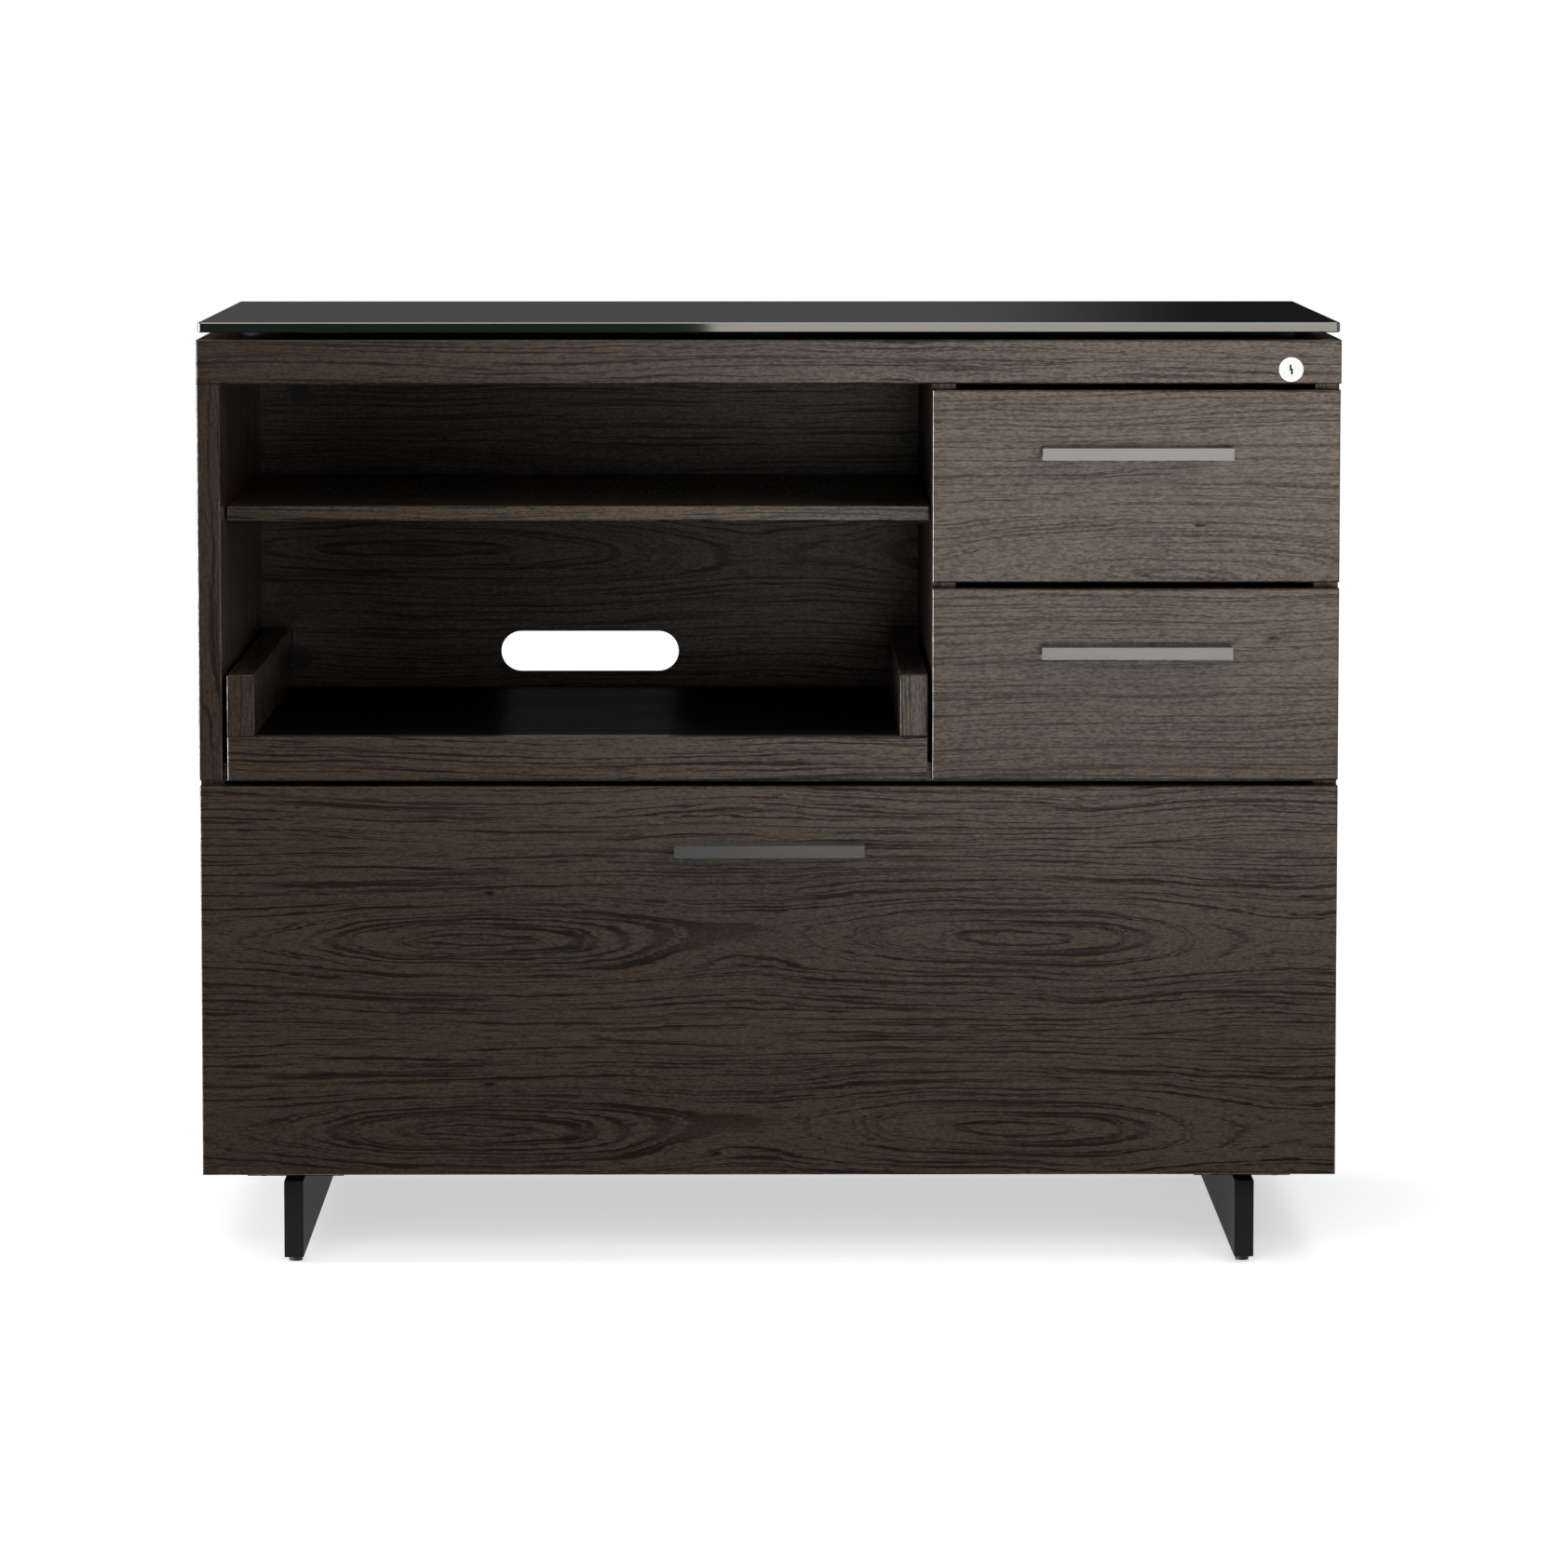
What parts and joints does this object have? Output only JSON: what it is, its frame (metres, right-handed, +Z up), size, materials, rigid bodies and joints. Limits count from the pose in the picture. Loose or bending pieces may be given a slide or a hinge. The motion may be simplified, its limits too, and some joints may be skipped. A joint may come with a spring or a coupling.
{
  "type": "filing cabinet",
  "caption": "Low office cabinet in dark ash under a glass top: open bay with shelf and pull-out tray beside small drawers, over a wide hanging-file drawer, on blade legs.",
  "frame": {"origin": "on the floor, under the middle of the cabinet's bounding box with its handles", "axes": "+X to the right seen from the front, +Y from the front to the back, +Z up; drawers and tray pull out along -Y"},
  "size_m": [0.915, 0.538, 0.762],
  "materials": {
    "charcoal_ash": "satin lacquer over dark stain",
    "drawer_board": "matt dark lacquer",
    "beech": "bare",
    "black_glass": "satin etched top, polished edges, opaque back",
    "mount_metal": "satin",
    "black_steel": "satin powder coat",
    "satin_nickel": "satin",
    "lock_chrome": "polished",
    "zinc_steel": "zinc plated",
    "black_plastic": "moulded"
  },
  "bodies": {
    "cabinet": {"back_cleats": "charcoal_ash", "back_panel_fasteners": "black_plastic", "bottom_panel": "charcoal_ash", "carcass_dowels": "beech", "divider_panel": "charcoal_ash", "front_rail": "charcoal_ash", "glass_mounts": "mount_metal", "glass_top": "black_glass", "left_leg": "black_steel", "left_side_panel": "charcoal_ash", "left_stile": "charcoal_ash", "leg_screws": "zinc_steel", "lock_barrel": "lock_chrome", "lower_back_panel": "charcoal_ash", "mid_panel": "charcoal_ash", "right_leg": "black_steel", "right_side_panel": "charcoal_ash", "shelf": "charcoal_ash", "shelf_pins": "satin_nickel", "slide_outers": "zinc_steel", "top_panel": "charcoal_ash", "upper_back_panel": "charcoal_ash"},
    "front_left_foot": {"front_left_foot": "black_plastic"},
    "front_right_foot": {"front_right_foot": "black_plastic"},
    "rear_left_foot": {"rear_left_foot": "black_plastic"},
    "rear_right_foot": {"rear_right_foot": "black_plastic"},
    "lock_plug": {"lock_plug": "lock_chrome", "lock_cam": "zinc_steel"},
    "lock_bar": {"lock_bar": "zinc_steel"},
    "tray": {"tray_base": "charcoal_ash", "tray_lip": "charcoal_ash", "tray_sides": "charcoal_ash", "tray_slide_inners": "zinc_steel"},
    "tray_slide_middles": {"tray_slide_middles": "zinc_steel"},
    "upper_drawer": {"upper_drawer_front": "charcoal_ash", "upper_drawer_walls": "drawer_board", "upper_drawer_bottom": "drawer_board", "upper_drawer_handle": "satin_nickel", "upper_drawer_handle_screws": "zinc_steel", "upper_drawer_lock_catch": "zinc_steel", "upper_drawer_slide_inners": "zinc_steel"},
    "upper_drawer_slide_middles": {"upper_drawer_slide_middles": "zinc_steel"},
    "lower_drawer": {"lower_drawer_front": "charcoal_ash", "lower_drawer_walls": "drawer_board", "lower_drawer_bottom": "drawer_board", "lower_drawer_handle": "satin_nickel", "lower_drawer_handle_screws": "zinc_steel", "lower_drawer_lock_catch": "zinc_steel", "lower_drawer_slide_inners": "zinc_steel"},
    "lower_drawer_slide_middles": {"lower_drawer_slide_middles": "zinc_steel"},
    "file_drawer": {"file_drawer_front": "charcoal_ash", "file_drawer_walls": "drawer_board", "file_drawer_bottom": "drawer_board", "file_drawer_handle": "satin_nickel", "file_drawer_handle_screws": "zinc_steel", "file_drawer_lock_catch": "zinc_steel", "file_drawer_slide_inners": "zinc_steel", "file_bars": "zinc_steel"},
    "file_drawer_slide_middles": {"file_drawer_slide_middles": "zinc_steel"}
  },
  "joints": [
    {"name": "front_left_foot_screw", "type": "hinge", "parent": "cabinet", "child": "front_left_foot", "pos_m": [-0.3845, -0.203, 0], "axis": [0, 0, 1], "continuous": true},
    {"name": "front_right_foot_screw", "type": "hinge", "parent": "cabinet", "child": "front_right_foot", "pos_m": [0.3845, -0.203, 0], "axis": [0, 0, 1], "continuous": true},
    {"name": "rear_left_foot_screw", "type": "hinge", "parent": "cabinet", "child": "rear_left_foot", "pos_m": [-0.3845, 0.233, 0], "axis": [0, 0, 1], "continuous": true},
    {"name": "rear_right_foot_screw", "type": "hinge", "parent": "cabinet", "child": "rear_right_foot", "pos_m": [0.3845, 0.233, 0], "axis": [0, 0, 1], "continuous": true},
    {"name": "lock_turn", "type": "hinge", "parent": "cabinet", "child": "lock_plug", "pos_m": [0.417, -0.239, 0.7245], "axis": [0, -1, 0], "range_deg": [0, 90]},
    {"name": "lock_bar_lift", "type": "slide", "parent": "cabinet", "child": "lock_bar", "axis": [0, 0, 1], "range_m": [0, 0.0099]},
    {"name": "tray_slide", "type": "slide", "parent": "cabinet", "child": "tray", "axis": [0, -1, 0], "range_m": [0, 0.3]},
    {"name": "tray_slide_middles_slide", "type": "slide", "parent": "cabinet", "child": "tray_slide_middles", "axis": [0, -1, 0], "range_m": [0, 0.15]},
    {"name": "upper_drawer_slide", "type": "slide", "parent": "cabinet", "child": "upper_drawer", "axis": [0, -1, 0], "range_m": [0, 0.42]},
    {"name": "upper_drawer_slide_middles_slide", "type": "slide", "parent": "cabinet", "child": "upper_drawer_slide_middles", "axis": [0, -1, 0], "range_m": [0, 0.21]},
    {"name": "lower_drawer_slide", "type": "slide", "parent": "cabinet", "child": "lower_drawer", "axis": [0, -1, 0], "range_m": [0, 0.42]},
    {"name": "lower_drawer_slide_middles_slide", "type": "slide", "parent": "cabinet", "child": "lower_drawer_slide_middles", "axis": [0, -1, 0], "range_m": [0, 0.21]},
    {"name": "file_drawer_slide", "type": "slide", "parent": "cabinet", "child": "file_drawer", "axis": [0, -1, 0], "range_m": [0, 0.42]},
    {"name": "file_drawer_slide_middles_slide", "type": "slide", "parent": "cabinet", "child": "file_drawer_slide_middles", "axis": [0, -1, 0], "range_m": [0, 0.21]}
  ],
  "couplings": [
    {"joint": "lock_turn", "follows": "lock_bar_lift", "rad_per_m": 158.67},
    {"joint": "tray_slide_middles_slide", "follows": "tray_slide", "ratio": 0.5},
    {"joint": "upper_drawer_slide_middles_slide", "follows": "upper_drawer_slide", "ratio": 0.5},
    {"joint": "lower_drawer_slide_middles_slide", "follows": "lower_drawer_slide", "ratio": 0.5},
    {"joint": "file_drawer_slide_middles_slide", "follows": "file_drawer_slide", "ratio": 0.5}
  ]
}
